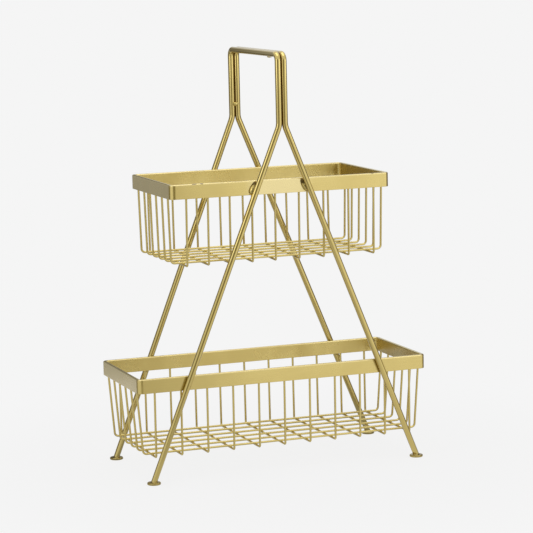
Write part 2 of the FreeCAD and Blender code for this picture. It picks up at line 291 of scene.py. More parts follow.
@dataclass(frozen=True)
class BrassFinish:
    """One lacquered satin brass finish: tone, gloss, drawn streaks, rubbed patches, darkening and marks, with
    painted shade, painted shadows and painted highlights among them.
    """

    name: str
    grain: Grain
    colour: Colour = (0.70, 0.55, 0.178)
    dull: Colour = (0.64, 0.495, 0.150)
    stain_and_shade: Stain = Stain.NONE
    stain_and_shade_colour: Colour = (0.10, 0.06, 0.012)
    # Reach of the painted seam shade from x = 0, from full to none.
    seam_shade_reach: Span = (0.7 * MM, 1.9 * MM)
    marks: tuple[Mark, ...] = ()
    roughness: float = 0.24
    roughness_spread: float = 0.06
    brush: float = 0.0
    streak_length: float = 60.0 * MM
    streak_width: float = 0.6 * MM
    streak_height: float = 0.004 * MM
    patch_size: float = 35.0 * MM
    coat: float = 0.9
    coat_roughness: float = 0.2
    across_the_brush: ClassVar[float] = 0.25
    patch_detail: ClassVar[float] = 4.0
    streak_detail: ClassVar[float] = 2.0
    grit_detail: ClassVar[float] = 3.0
    mottle_range: ClassVar[Span] = (0.1, 0.4)
    patch_range: ClassVar[Span] = (0.3, 0.7)

    def make(self) -> Material:
        """Builds the finish as a node material.

        Returns:
            The material.
        """
        material, nodes = new_material(self.name)
        place = nodes.get("ShaderNodeTexCoord", output="Object")
        streaks = self._streaks(nodes, place)
        patches = nodes.clouds(place, self.patch_size, self.patch_detail)
        bright = nodes.ramp(nodes.maths("MULTIPLY", streaks, patches), self.mottle_range, WHOLE)
        colour = self._mix(nodes, bright, (*self.dull, 1), (*self.colour, 1))
        # Darkening and marks go over the tone here, painted shade and painted highlights among them.
        for share, tint in self._stains_and_painted_light(nodes, place):
            colour = self._mix(nodes, share, colour, (*tint, 1))
        spread = self.roughness_spread / 2
        gloss = nodes.ramp(patches, self.patch_range, (self.roughness + spread, self.roughness - spread))
        shader = nodes.get("ShaderNodeBsdfPrincipled", {
            "Base Color": colour,
            "Metallic": 1.0,
            "Roughness": gloss,
            "Normal": nodes.get("ShaderNodeBump", {
                "Height": streaks, "Strength": 1.0, "Distance": self.streak_height,
            }),
            "Coat Weight": self.coat,
            "Coat Roughness": self.coat_roughness,
            "Anisotropic": self.brush,
            "Anisotropic Rotation": self.across_the_brush,
            "Tangent": nodes.get("ShaderNodeTangent", direction_type="RADIAL", axis="Z"),
        })
        nodes.add("ShaderNodeOutputMaterial", {"Surface": shader})
        return material

    @staticmethod
    def _mix(
        nodes: Nodes, share: Socket, first: Socket | tuple[float, ...], second: Socket | tuple[float, ...],
    ) -> Socket:
        """Blends two colours by the share of the second."""
        return nodes.get("ShaderNodeMix", {"Factor": share, "A": first, "B": second}, data_type="RGBA")

    def _streaks(self, nodes: Nodes, place: Socket) -> Socket:
        """Draws the fine streaks that brushing leaves.

        Args:
            nodes: The material's nodes.
            place: The spot's object coordinates.

        Returns:
            The height of the streaks, from 0 to 1.
        """
        along = place
        scale = (1 / self.streak_width,) * 3
        if self.grain is Grain.ALONG_BAR:
            along = nodes.get("ShaderNodeAttribute", output="Vector", attribute_name="grain")
            scale = (1 / self.streak_length, 1 / self.streak_width, 1 / self.streak_width)
        stretched = nodes.get("ShaderNodeMapping", {"Vector": along, "Scale": scale})
        return nodes.clouds(stretched, size=1.0, detail=self.streak_detail)

    def _stains_and_painted_light(self, nodes: Nodes, place: Socket) -> list[tuple[Socket, Colour]]:
        """Lists the darkenings and marks, painted shade and painted highlights among them, in the order they
        lie on each other.

        Args:
            nodes: The material's nodes.
            place: The spot's object coordinates.

        Returns:
            How far each one covers the spot, from 0 to 1, and its colour.
        """
        overlays = []
        if self.stain_and_shade is Stain.BURN:
            burn_and_shade = nodes.get("ShaderNodeAttribute", output="Fac", attribute_name="burn_and_shade")
            overlays.append((burn_and_shade, self.stain_and_shade_colour))
        # Painted shade: darker within a couple of millimetres of x = 0, where the two rods meet and shade
        # each other.
        if self.stain_and_shade is Stain.SEAM:
            across = nodes.get("ShaderNodeSeparateXYZ", {"Vector": place}, "X")
            seam = nodes.ramp(nodes.maths("ABSOLUTE", across), self.seam_shade_reach, (1.0, 0.0), "SMOOTHSTEP")
            overlays.append((seam, self.stain_and_shade_colour))
        for mark in self.marks:
            overlays.append((self._mark_share(nodes, place, mark), mark.colour))
        return overlays

    def _mark_share(self, nodes: Nodes, place: Socket, mark: Mark) -> Socket:
        """Works out how far one mark covers each spot.

        Args:
            nodes: The material's nodes.
            place: The spot's object coordinates.
            mark: The mark.

        Returns:
            The share, from 0 to the mark's strength.
        """
        grit = nodes.clouds(place, mark.grit, self.grit_detail)
        edge = nodes.ramp(grit, WHOLE, (1 - mark.raggedness / 2, 1 + mark.raggedness / 2))
        offset = nodes.vector("SUBTRACT", place, mark.middle)
        if mark.slope:
            rise = nodes.get("ShaderNodeSeparateXYZ", {"Vector": offset}, "Z")
            offset = nodes.vector("SUBTRACT", offset, nodes.scaled((mark.slope, 0.0, 0.0), rise))
        away = nodes.vector("LENGTH", nodes.vector("DIVIDE", offset, mark.reach))
        return nodes.ramp(nodes.maths("SUBTRACT", edge, away), (0.0, mark.fade), (0.0, mark.strength))


def painted_top_highlight(level: float) -> Mark:
    """Makes a painted highlight: the paler band along the top edge of a rim, where the light from above
    catches its rounding.

    Args:
        level: Height of the edge.

    Returns:
        The mark.
    """
    return Mark(
        middle=(0.0, 0.0, level),
        reach=(ALL_ALONG, ALL_ALONG, 2.2 * MM),
        colour=(0.88, 0.74, 0.36),
        strength=0.5,
        raggedness=0.3,
        fade=0.5,
    )


def scuff(x: float, half_length: float) -> Mark:
    """Makes a dark scuff on the top of the upper rim's front bar.

    Args:
        x: Its middle along the bar.
        half_length: From its middle to its end.

    Returns:
        The mark.
    """
    front_bar = -82.5 * MM
    return Mark(
        middle=(x, front_bar, UPPER_RIM_TOP),
        reach=(half_length, 3.5 * MM, 1.6 * MM),
        colour=(0.20, 0.14, 0.05),
        strength=0.9,
        raggedness=0.8,
        fade=0.3,
    )


# A paler, whiter patch on the upper rim's front bar, between the front legs.
BETWEEN_THE_LEGS = Mark(
    middle=(-4.0 * MM, -84.6 * MM, 380.0 * MM),
    reach=(48.0 * MM, 40.0 * MM, 80.0 * MM),
    colour=(0.82, 0.68, 0.31),
    strength=0.9,
    raggedness=0.1,
    fade=0.4,
)
ROD_FINISH = BrassFinish(
    "satin_brass_rod",
    Grain.ALONG_BAR,
    colour=(0.64, 0.50, 0.155),
    dull=(0.59, 0.455, 0.137),
    # Painted shade along the seam where the two rods meet.
    stain_and_shade=Stain.SEAM,
    stain_and_shade_colour=(0.34, 0.22, 0.03),
    roughness=0.13,
    streak_height=0.001 * MM,
    coat_roughness=0.12,
)
LOWER_RIM_FINISH = BrassFinish(
    "brushed_brass_rim",
    Grain.ALONG_BAR,
    # Painted highlight along the top edge.
    marks=(painted_top_highlight(LOWER_RIM_TOP),),
    roughness=0.28,
    brush=0.83,
)
UPPER_RIM_FINISH = replace(
    LOWER_RIM_FINISH,
    name="brushed_brass_scuffed_rim",
    marks=(
        BETWEEN_THE_LEGS,
        # Painted highlight along the top edge.
        painted_top_highlight(UPPER_RIM_TOP),
        scuff(-120.4 * MM, 4.5 * MM),
        scuff(-110.4 * MM, 3.2 * MM),
        scuff(128.6 * MM, 3.0 * MM),
    ),
)
WIRE_FINISH = BrassFinish(
    "satin_brass_wire",
    Grain.ALONG_BAR,
    colour=(0.70, 0.555, 0.18),
    dull=(0.645, 0.505, 0.16),
    roughness=0.2,
    streak_height=0.001 * MM,
)
FOOT_FINISH = BrassFinish(
    "satin_brass_foot",
    Grain.ALL_ROUND,
    colour=(0.46, 0.36, 0.12),
    dull=(0.42, 0.325, 0.105),
    # Darker round the weld fillet of each foot, most on its outer side.
    stain_and_shade=Stain.BURN,
    streak_height=0.001 * MM,
    coat=0.3,
)
WELD_FINISH = BrassFinish(
    "lacquered_brass_weld",
    Grain.ALL_ROUND,
    colour=(0.62, 0.49, 0.165),
    dull=(0.54, 0.42, 0.13),
    # Dark heat tint at the bead ends, and painted contact shade where a bead meets the rim and the leg.
    stain_and_shade=Stain.BURN,
    stain_and_shade_colour=(0.09, 0.055, 0.006),
    streak_height=0.002 * MM,
    coat=0.35,
)


class BarTree:
    """A Geometry Nodes tree that sweeps a cross-section along a bent path, once or in an even row."""

    INPUTS = {
        "Path": "Geometry",
        "Material": "Material",
        "Count": "Int",
        "First": "Vector",
        "Step": "Vector",
        "Bow shift": "Vector",
        "Bow turn": "Vector",
        "Width": "Float",
        "Height": "Float",
        "Top rounding": "Float",
        "Bottom rounding": "Float",
    }
    SIDES_ROUND = 32
    BEND_STEPS = 10
    EDGE_STEPS = 5
    JOIN = 1e-6

    def __init__(self, section: Section) -> None:
        """Builds the tree.

        Args:
            section: Cross-section of the bar.
        """
        self.nodes = new_tree(f"{section.value}_bar", self.INPUTS)
        self.given = self.nodes.add("NodeGroupInput").outputs
        profile = self._round_profile() if section is Section.ROUND else self._flat_profile()
        self._sweep(self._row_of_paths(), profile)

    def _row_of_paths(self) -> Socket:
        """Sets the path out in its row, shifted and turned by the bow, and bends it at its corners.

        Returns:
            The bent paths.
        """
        get = self.nodes.get
        row = get("GeometryNodeMeshLine", {
            "Count": self.given["Count"],
            "Start Location": self.given["First"],
            "Offset": self.given["Step"],
        }, mode="OFFSET")
        share = self._bow_share()
        bowed = get("GeometryNodeSetPosition", {
            "Geometry": row, "Offset": self.nodes.scaled(self.given["Bow shift"], share),
        })
        placed = get("GeometryNodeInstanceOnPoints", {
            "Points": bowed,
            "Instance": get("GeometryNodeMeshToCurve", {"Mesh": self.given["Path"]}),
            "Rotation": self.nodes.scaled(self.given["Bow turn"], share),
        })
        bent = get("GeometryNodeFilletCurve", {
            "Curve": get("GeometryNodeRealizeInstances", {"Geometry": placed}),
            "Radius": get("GeometryNodeInputNamedAttribute", {"Name": "bend"}, data_type="FLOAT"),
            "Count": self.BEND_STEPS,
        }, mode="POLY")
        return get("GeometryNodeStoreNamedAttribute", {
            "Geometry": bent, "Name": "along", "Value": get("GeometryNodeSplineParameter", output="Length"),
        }, data_type="FLOAT", domain="POINT")

    def _bow_share(self) -> Socket:
        """Works out each wire's share of the bow: none at both ends of the row, all of it in the middle.

        Returns:
            The share.
        """
        maths = self.nodes.maths
        last = maths("SUBTRACT", self.given["Count"], 1.0)
        along = maths("DIVIDE", self.nodes.get("GeometryNodeInputIndex"), last)
        return maths("SINE", maths("MULTIPLY", along, math.pi))

    def _mark_profile(self, curve: Socket) -> Socket:
        """Stores each profile point's own place, which the grain follows.

        Args:
            curve: The profile.

        Returns:
            The marked profile.
        """
        return self.nodes.get("GeometryNodeStoreNamedAttribute", {
            "Geometry": curve, "Name": "across", "Value": self.nodes.get("GeometryNodeInputPosition"),
        }, data_type="FLOAT_VECTOR", domain="POINT")

    def _round_profile(self) -> Socket:
        """Makes a circle.

        Returns:
            The profile.
        """
        radius = self.nodes.maths("DIVIDE", self.given["Width"], 2.0)
        return self._mark_profile(self.nodes.get("GeometryNodeCurvePrimitiveCircle", {
            "Resolution": self.SIDES_ROUND, "Radius": radius,
        }, mode="RADIUS"))

    def _flat_profile(self) -> Socket:
        """Makes an upright rectangle with rounded edges.

        Returns:
            The profile, whose -Y side is the top of the swept bar.
        """
        get = self.nodes.get
        block = get("GeometryNodeCurvePrimitiveQuadrilateral", {
            "Width": self.given["Width"], "Height": self.given["Height"],
        }, mode="RECTANGLE")
        height = get("ShaderNodeSeparateXYZ", {"Vector": get("GeometryNodeInputPosition")}, "Y")
        is_top = get("FunctionNodeCompare", {"A": height, "B": 0.0}, data_type="FLOAT", operation="LESS_THAN")
        rounding = get("GeometryNodeSwitch", {
            "Switch": is_top,
            "False": self.given["Bottom rounding"],
            "True": self.given["Top rounding"],
        }, input_type="FLOAT")
        return self._mark_profile(get("GeometryNodeFilletCurve", {
            "Curve": block, "Radius": rounding, "Count": self.EDGE_STEPS,
        }, mode="POLY"))

    def _sweep(self, paths: Socket, profile: Socket) -> None:
        """Sweeps the profile along the paths, marks the grain and sets the finish.

        Args:
            paths: The bent paths.
            profile: The cross-section.
        """
        get = self.nodes.get
        swept = get("GeometryNodeCurveToMesh", {"Curve": paths, "Profile Curve": profile, "Fill Caps": True})
        along = get("GeometryNodeInputNamedAttribute", {"Name": "along"}, data_type="FLOAT")
        across = get("GeometryNodeInputNamedAttribute", {"Name": "across"}, data_type="FLOAT_VECTOR")
        parts = self.nodes.add("ShaderNodeSeparateXYZ", {"Vector": across}).outputs
        grain = get("ShaderNodeCombineXYZ", {"X": along, "Y": parts["X"], "Z": parts["Y"]})
        marked = get("GeometryNodeStoreNamedAttribute", {
            "Geometry": swept, "Name": "grain", "Value": grain,
        }, data_type="FLOAT_VECTOR", domain="CORNER")
        joined = get("GeometryNodeMergeByDistance", {"Geometry": marked, "Distance": self.JOIN})
        self.nodes.close(joined, self.given["Material"])

    def run(self, name: str, path: Corners, values: dict) -> Mesh:
        """Runs the tree on one path.

        Args:
            name: Name of the mesh.
            path: Corners of the path, each with the radius of its bend.
            values: Tree input name to value.

        Returns:
            The swept bars as a plain mesh.
        """
        start = bpy.data.meshes.new(f"{name}_path")
        start.from_pydata([point for point, _ in path], [(i, i + 1) for i in range(len(path) - 1)], [])
        bends = start.attributes.new("bend", "FLOAT", "POINT")
        bends.data.foreach_set("value", [bend for _, bend in path])
        return evaluated(start, self.nodes.tree, name, values)


class SpotWeldTree:
    """A Geometry Nodes tree that sets a slightly uneven flat nugget on every point."""

    INPUTS = {
        "Points": "Geometry",
        "Material": "Material",
        "Size": "Vector",
        "Smallest": "Float",
        "Largest": "Float",
        "Seed": "Int",
    }
    SEGMENTS = 10
    RINGS = 6
    UNIT_RADIUS = 0.5

    def __init__(self) -> None:
        """Builds the tree."""
        self.nodes = new_tree("spot_welds", self.INPUTS)
        get = self.nodes.get
        given = self.nodes.add("NodeGroupInput").outputs
        nugget = get("GeometryNodeMeshUVSphere", {
            "Segments": self.SEGMENTS, "Rings": self.RINGS, "Radius": self.UNIT_RADIUS,
        })
        share = get("FunctionNodeRandomValue", {
            "Min": given["Smallest"], "Max": given["Largest"], "Seed": given["Seed"],
        }, data_type="FLOAT")
        placed = get("GeometryNodeInstanceOnPoints", {
            "Points": given["Points"], "Instance": nugget, "Scale": self.nodes.scaled(given["Size"], share),
        })
        self.nodes.close(placed, given["Material"])

    def run(self, name: str, points: list[Point], values: dict) -> Mesh:
        """Runs the tree on a set of points.

        Args:
            name: Name of the mesh.
            points: Middle of each nugget.
            values: Tree input name to value.

        Returns:
            The nuggets as a plain mesh.
        """
        start = bpy.data.meshes.new(f"{name}_points")
        start.from_pydata(points, [], [])
        return evaluated(start, self.nodes.tree, name, values)


def evaluated(start: Mesh, tree: bpy.types.NodeTree, name: str, values: dict) -> Mesh:
    """Runs a tree and keeps what it makes as a plain mesh.

    Args:
        start: The tree's starting geometry, removed afterwards.
        tree: The Geometry Nodes tree.
        name: Name of the mesh.
        values: Tree input name to value.

    Returns:
        The new mesh.
    """
    holder = add_object(start.name, start)
    modifier = holder.modifiers.new("Shape", "NODES")
    modifier.node_group = tree
    for item in tree.interface.items_tree:
        if item.in_out == "INPUT" and item.name in values:
            modifier[item.identifier] = values[item.name]
    mesh = settle(holder, name)
    bpy.data.objects.remove(holder)
    bpy.data.meshes.remove(start)
    return mesh


def settle(holder: bpy.types.Object, name: str) -> Mesh:
    """Keeps an object's evaluated shape as a plain mesh and removes its modifiers.

    Args:
        holder: Object with modifiers.
        name: Name of the mesh.

    Returns:
        The new mesh.
    """
    bpy.context.view_layer.update()
    depsgraph = bpy.context.evaluated_depsgraph_get()
    mesh = bpy.data.meshes.new_from_object(
        holder.evaluated_get(depsgraph), preserve_all_data_layers=True, depsgraph=depsgraph,
    )
    mesh.name = name
    holder.modifiers.clear()
    return mesh


def place_piece(name: str, mesh: Mesh, nodes: list[str]) -> None:
    """Makes a piece of the basket from a finished mesh.

    Args:
        name: Name of the piece.
        mesh: Its mesh, placed in the part's frame.
        nodes: CAD nodes that the piece stands for.
    """
    piece = add_object(name, mesh)
    flat = piece.modifiers.new("Even shading", "WEIGHTED_NORMAL")
    flat.keep_sharp = True
    piece.data = settle(piece, name)
    bpy.data.meshes.remove(mesh)
    piece.data.name = name
    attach(piece, BODY)
    if nodes:
        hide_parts(*nodes)
    LOG.info("%s: %d faces", name, len(piece.data.polygons))


@dataclass
class RodFrame:
    """The two bent rods that make the handle and the four legs."""

    rod: float = 8.0 * MM
    seam: float = 0.1 * MM
    height: float = 556.0 * MM
    handle_depth: float = 180.0 * MM
    handle_bend: float = 9.0 * MM
    splay_height: float = 459.0 * MM
    splay_bend: float = 25.0 * MM
    foot_spread: float = 376.0 * MM
    foot_depth: float = 167.0 * MM
    foot_thickness: float = 3.0 * MM
    seat: float = 1.0 * MM

    @property
    def offset(self) -> float:
        """Rod axis to the middle, along X, at the handle."""
        return (self.rod + self.seam) / 2

    @property
    def lean(self) -> float:
        """Angle of a leg from upright, along X."""
        return math.atan2(self.foot_spread / 2 - self.offset, self.splay_height)

    def leg_at(self, side: int, end: int, height: float) -> Vector:
        """Finds a leg's axis at a height.

        Args:
            side: -1 for left, 1 for right.
            end: -1 for front, 1 for back.
            height: Height above the floor.

        Returns:
            The point on the axis.
        """
        share = 1 - height / self.splay_height
        x = self.offset + (self.foot_spread / 2 - self.offset) * share
        y = self.handle_depth / 2 - (self.handle_depth - self.foot_depth) / 2 * share
        return Vector((side * x, end * y, height))

    def path(self, side: int) -> Corners:
        """Lists the corners of one rod from front foot to back foot.

        Args:
            side: -1 for left, 1 for right.

        Returns:
            The corners, each with its bend.
        """
        x = side * self.offset
        y = self.handle_depth / 2
        grip = self.height - self.rod / 2
        run_out = -self.rod
        return [
            (tuple(self.leg_at(side, -1, run_out)), 0.0),
            ((x, -y, self.splay_height), self.splay_bend),
            ((x, -y, grip), self.handle_bend),
            ((x, y, grip), self.handle_bend),
            ((x, y, self.splay_height), self.splay_bend),
            (tuple(self.leg_at(side, 1, run_out)), 0.0),
        ]

    def build(self, tree: BarTree, finish: Material) -> None:
        """Builds both rods and cuts their legs level inside the feet.

        Args:
            tree: Tree for round bars.
            finish: Finish of the rods.
        """
        values = {"Count": 1, "Width": self.rod, "Material": finish}
        for name, side in SIDES.items():
            mesh = tree.run(f"{name}_rod", self.path(side), values)
            cut_level(mesh, self.foot_thickness - self.seat)
            place_piece(f"{name}_rod", mesh, [f"{name}_hoop"])


def cut_level(mesh: Mesh, level: float) -> None:
    """Cuts off what a mesh has below a level and closes the cut.

    Args:
        mesh: The mesh, changed in place.
        level: Height of the cut.
    """
    shape = bmesh.new()
    shape.from_mesh(mesh)
    cut = bmesh.ops.bisect_plane(
        shape,
        geom=shape.verts[:] + shape.edges[:] + shape.faces[:],
        plane_co=(0, 0, level),
        plane_no=(0, 0, 1),
        clear_inner=True,
    )
    rim = [item for item in cut["geom_cut"] if isinstance(item, bmesh.types.BMEdge)]
    bmesh.ops.holes_fill(shape, edges=rim, sides=0)
    bmesh.ops.recalc_face_normals(shape, faces=shape.faces[:])
    shape.to_mesh(mesh)
    shape.free()


@dataclass
class Skin:
    """A closed skin: rings of equally many points in order along a piece, and how far each spot is darkened,
    by weld heat tint and by painted shade.
    """

    rings: Rings
    burn_and_shade: Callable[[Vector], float]


def loft(name: str, skins: list[Skin], finish: Material) -> Mesh:
    """Joins the rings of each skin, with a pole at each end.

    Args:
        name: Name of the mesh.
        skins: The skins.
        finish: Finish of the skins.

    Returns:
        The mesh, smooth and facing outwards.
    """
    shape = bmesh.new()
    burn_and_shade_layer = shape.verts.layers.float.new("burn_and_shade")
    for skin in skins:
        rows = [[shape.verts.new(point) for point in ring] for ring in skin.rings]
        count = len(rows[0])
        for low, high in zip(rows, rows[1:]):
            for i in range(count):
                j = (i + 1) % count
                shape.faces.new((low[i], low[j], high[j], high[i]))
        for row in (rows[0], rows[-1]):
            pole = shape.verts.new(sum((vert.co for vert in row), Vector()) / count)
            pole[burn_and_shade_layer] = skin.burn_and_shade(pole.co)
            for i in range(count):
                shape.faces.new((row[i], row[(i + 1) % count], pole))
        for row in rows:
            for vert in row:
                vert[burn_and_shade_layer] = skin.burn_and_shade(vert.co)
    bmesh.ops.recalc_face_normals(shape, faces=shape.faces[:])
    for face in shape.faces:
        face.smooth = True
    return mesh_from(name, shape, finish)


@dataclass
class Foot:
    """One foot: a round disc with soft edges, and the weld fillet that joins it to its leg."""

    side: int
    end: int
    frame: RodFrame
    diameter: float = 18.0 * MM
    edge: float = 1.0 * MM
    fillet: float = 1.3 * MM
    unevenness: float = 0.12
    lobes: float = 2.0
    fillet_darkening: float = 0.5
    segments: int = 48
    edge_steps: int = 6
    seed_step: ClassVar[int] = 7

    @property
    def seed(self) -> int:
        """A number that each foot has of its own."""
        return self.seed_step * self.side + self.end

    @property
    def quarter_turn(self) -> list[float]:
        """The steps of a rounded edge, as angles."""
        return [math.pi / 2 * i / self.edge_steps for i in range(self.edge_steps + 1)]

    def leg_at(self, height: float) -> Vector:
        """Finds the axis of the foot's own leg at a height."""
        return self.frame.leg_at(self.side, self.end, height)

    def disc_rings(self) -> Rings:
        """Lists the disc's rings from its underside up to its top face.

        Returns:
            The rings.
        """
        top = self.frame.foot_thickness
        middle = self.leg_at(top)
        inner = self.diameter / 2 - self.edge
        profile = [(inner / 2, 0.0)]
        for turn in self.quarter_turn:
            profile.append((inner + self.edge * math.sin(turn), self.edge * (1 - math.cos(turn))))
        for turn in self.quarter_turn:
            profile.append((inner + self.edge * math.cos(turn), top - self.edge * (1 - math.sin(turn))))
        return [self._ring(Vector((*middle.xy, height)), radius, radius) for radius, height in profile]

    def fillet_rings(self) -> Rings:
        """Lists the weld fillet's rings from the disc's top up into the leg.

        Returns:
            The rings.
        """
        rings = []
        top = self.frame.foot_thickness
        radius = self.frame.rod / 2
        for turn in self.quarter_turn:
            proud = self.fillet * (1 - math.sin(turn))
            rise = self.fillet * (1 - math.cos(turn))
            along = radius / math.cos(self.frame.lean) + proud
            across = radius + proud
            rings.append(self._ring(self.leg_at(top + rise), along, across, self.unevenness * proud))
        rings.append(self._ring(self.leg_at(top + self.fillet), along / 2, across / 2))
        return rings

    def burn_and_shade_at(self, spot: Vector) -> float:
        """Finds how far a spot is darkened: only round the fillet, and most on its outer side.

        Args:
            spot: Point on the foot.

        Returns:
            The share, from 0 to 1.
        """
        top = self.frame.foot_thickness
        out = spot - self.leg_at(top)
        if spot.z < top - self.edge / 2 or out.xy.length > self.frame.rod / 2 + 2 * self.fillet:
            return 0.0
        outward = 0.5 + self.side * out.x / (2 * self.frame.rod)
        return self.fillet_darkening * min(1.0, max(0.0, outward))

    def _ring(self, middle: Vector, along: float, across: float, wobble: float = 0.0) -> list[Vector]:
        """Makes one level ring, oval where the leg leans.

        Args:
            middle: Middle of the ring.
            along: Half width along X.
            across: Half width along Y.
            wobble: How far the ring may wander outwards.

        Returns:
            The points of the ring.
        """
        points = []
        for i in range(self.segments):
            turn = math.tau * i / self.segments
            x, y = math.cos(turn), math.sin(turn)
            stray = 1 + wobble / along * noise.noise((self.lobes * x, self.lobes * y, self.seed))
            points.append(Vector((middle.x + along * stray * x, middle.y + across * stray * y, middle.z)))
        return points

    def build(self, finish: Material) -> None:
        """Builds the foot.

        Args:
            finish: Finish of the foot.
        """
        end = next(name for name, sign in ENDS.items() if sign == self.end)
        side = next(name for name, sign in SIDES.items() if sign == self.side)
        name = f"foot_disc_{end}_{side}"
        mesh = loft(name, [Skin(self.disc_rings() + self.fillet_rings(), self.burn_and_shade_at)], finish)
        place_piece(name, mesh, [f"foot_{end}_{side}"])


@dataclass
class WeldBead:
    """One lumpy weld bead, thicker at one end, with the ripples that the weld pool leaves."""

    middle: Vector
    axis: Vector
    length: float
    low_width: float
    high_width: float
    seed: int
    face: float = 0.0
    leg: Vector | None = None
    leg_radius: float = 0.0
    burnt_from: float = 1.0
    ripples: int = 7
    ripple_height: float = 0.035
    unevenness: float = 0.10
    lump_spread: float = 1.3
    lump_run: float = 4.0
    seed_step: float = 9.7
    bluntness: float = 0.7
    grit: float = 1.8 * MM
    crater_fade: float = 0.1
    tail: float = 0.05
    # Painted contact shade: dark lines where the bead meets the rim face and the leg.
    contact_shade_reach: float = 1.4 * MM
    contact_shade: float = 1.0
    contact_shade_raggedness: float = 0.9
    segments: int = 28
    steps: int = 30

    def rings(self) -> Rings:
        """Lists the bead's rings from its low end to its high end.

        Returns:
            The rings.
        """
        turn_up = Vector((0, 0, 1)).rotation_difference(self.axis).to_matrix()
        shift = Vector((0, 0, self.seed_step * self.seed))
        rings = []
        for i in range(1, self.steps):
            lift = math.pi * (i / self.steps - 0.5)
            share = (math.sin(lift) + 1) / 2
            height = self.length * (share - 0.5)
            width = self.low_width + (self.high_width - self.low_width) * share
            pool = 1 + self.ripple_height * math.sin(math.tau * self.ripples * share)
            ring = []
            for k in range(self.segments):
                turn = math.tau * k / self.segments
                x, y = math.cos(turn), math.sin(turn)
                spot = Vector((x, y, self.lump_run * share)) * self.lump_spread + shift
                lump = 1 + self.unevenness * noise.noise(spot)
                radius = width / 2 * math.cos(lift) ** self.bluntness * pool * lump
                ring.append(self.middle + turn_up @ Vector((radius * x, radius * y, height)))
            rings.append(ring)
        return rings

    def burn_and_shade_at(self, spot: Vector) -> float:
        """Finds how dark a spot is: weld heat tint with painted crater shade at both ends, and painted
        contact shade in lines along the rim and the leg.

        Args:
            spot: Point on the bead.

        Returns:
            The share, from 0 to 1.
        """
        if self.leg is None:
            return 0.0
        share = (spot - self.middle).dot(self.axis) / self.length + 0.5
        stray = noise.noise(spot / self.grit)
        # Heat tint and painted crater shade at both ends of the bead.
        crater = max(share - self.burnt_from, self.tail - share) / self.crater_fade + stray
        out = spot - self.leg
        beside = (out - out.dot(self.axis) * self.axis).length - self.leg_radius
        gap = min(abs(spot.y) - self.face, beside)
        # Painted contact shade along the rim face and the leg.
        edge = self.contact_shade * (1 - gap / self.contact_shade_reach) + self.contact_shade_raggedness * stray
        return min(1.0, max(0.0, crater, edge))


@dataclass
class Welds:
    """The weld beads of the frame: on the handle and where the legs meet the rims."""

    frame: RodFrame
    upper_face: float
    upper_level: float
    lower_level: float
    lower_depth: float = 82.4 * MM
    rim_length: float = 17.0 * MM
    rim_width: float = 8.4 * MM
    rim_proud: float = 0.8 * MM
    crater_from: float = 0.64
    tack_length: float = 5.0 * MM
    tack_width: float = 5.2 * MM
    handle_length: float = 7.4 * MM
    handle_width: float = 6.0 * MM
    handle_level: float = 477.5 * MM
    handle_depth: float = 86.0 * MM
    grip_level: float = 548.8 * MM
    grip_reach: float = 50.0 * MM
    tack_seed: ClassVar[int] = 10
    handle_seed: ClassVar[int] = 20
    small_ripples: ClassVar[int] = 3
    # Side and end of each leg, and the shares of rim_width that its bead has at its low and its high end.
    rim_shapes: ClassVar[dict[tuple[int, int], Span]] = {
        (-1, -1): (1.3, 0.55),
        (1, -1): (0.85, 0.85),
        (-1, 1): (1.1, 0.7),
        (1, 1): (1.0, 0.8),
    }

    def upper_rim_beads(self) -> list[WeldBead]:
        """Lists the beads along the left of each leg on the upper rim.

        Returns:
            The beads.
        """
        beads = []
        lean = self.frame.lean
        for seed, ((side, end), (low, high)) in enumerate(self.rim_shapes.items()):
            leg = self.frame.leg_at(side, end, self.upper_level)
            left_of_leg = leg.x - self.frame.rod / 2 / math.cos(lean)
            beads.append(WeldBead(
                middle=Vector((left_of_leg, end * (self.upper_face + self.rim_proud), leg.z)),
                axis=Vector((-side * math.sin(lean), 0.0, math.cos(lean))),
                length=self.rim_length,
                low_width=self.rim_width * low,
                high_width=self.rim_width * high,
                seed=seed,
                face=self.upper_face,
                leg=leg,
                leg_radius=self.frame.rod / 2,
                burnt_from=self.crater_from,
            ))
        return beads

    def lower_rim_beads(self) -> list[WeldBead]:
        """Lists the tacks under the lower rim, behind each leg.

        Returns:
            The beads.
        """
        beads = []
        for side, end in LEGS:
            leg = self.frame.leg_at(side, end, self.lower_level)
            beads.append(WeldBead(
                middle=Vector((leg.x, end * self.lower_depth, self.lower_level)),
                axis=Vector((0, 0, 1)),
                length=self.tack_length,
                low_width=self.tack_width,
                high_width=self.tack_width,
                seed=self.tack_seed + 2 * side + end,
                ripples=self.small_ripples,
            ))
        return beads

    def handle_beads(self) -> list[WeldBead]:
        """Lists the beads across the seam between the two rods.

        Returns:
            The beads.
        """
        spots = [(end * self.handle_depth, self.handle_level) for end in ENDS.values()]
        spots.append((-self.grip_reach, self.grip_level))
        return [
            WeldBead(
                middle=Vector((0, depth, level)),
                axis=Vector((1, 0, 0)),
                length=self.handle_length,
                low_width=self.handle_width,
                high_width=self.handle_width,
                seed=self.handle_seed + i,
                ripples=self.small_ripples,
            )
            for i, (depth, level) in enumerate(spots)
        ]

    def build(self, finish: Material) -> None:
        """Builds one piece for each group of beads.

        Args:
            finish: Finish of the beads.
        """
        for name, node, beads in (
            ("upper_rim_weld_beads", "upper_rim_welds", self.upper_rim_beads()),
            ("lower_rim_weld_beads", "lower_rim_welds", self.lower_rim_beads()),
            ("handle_weld_beads", "handle_welds", self.handle_beads()),
        ):
            mesh = loft(name, [Skin(bead.rings(), bead.burn_and_shade_at) for bead in beads], finish)
            place_piece(name, mesh, [node])


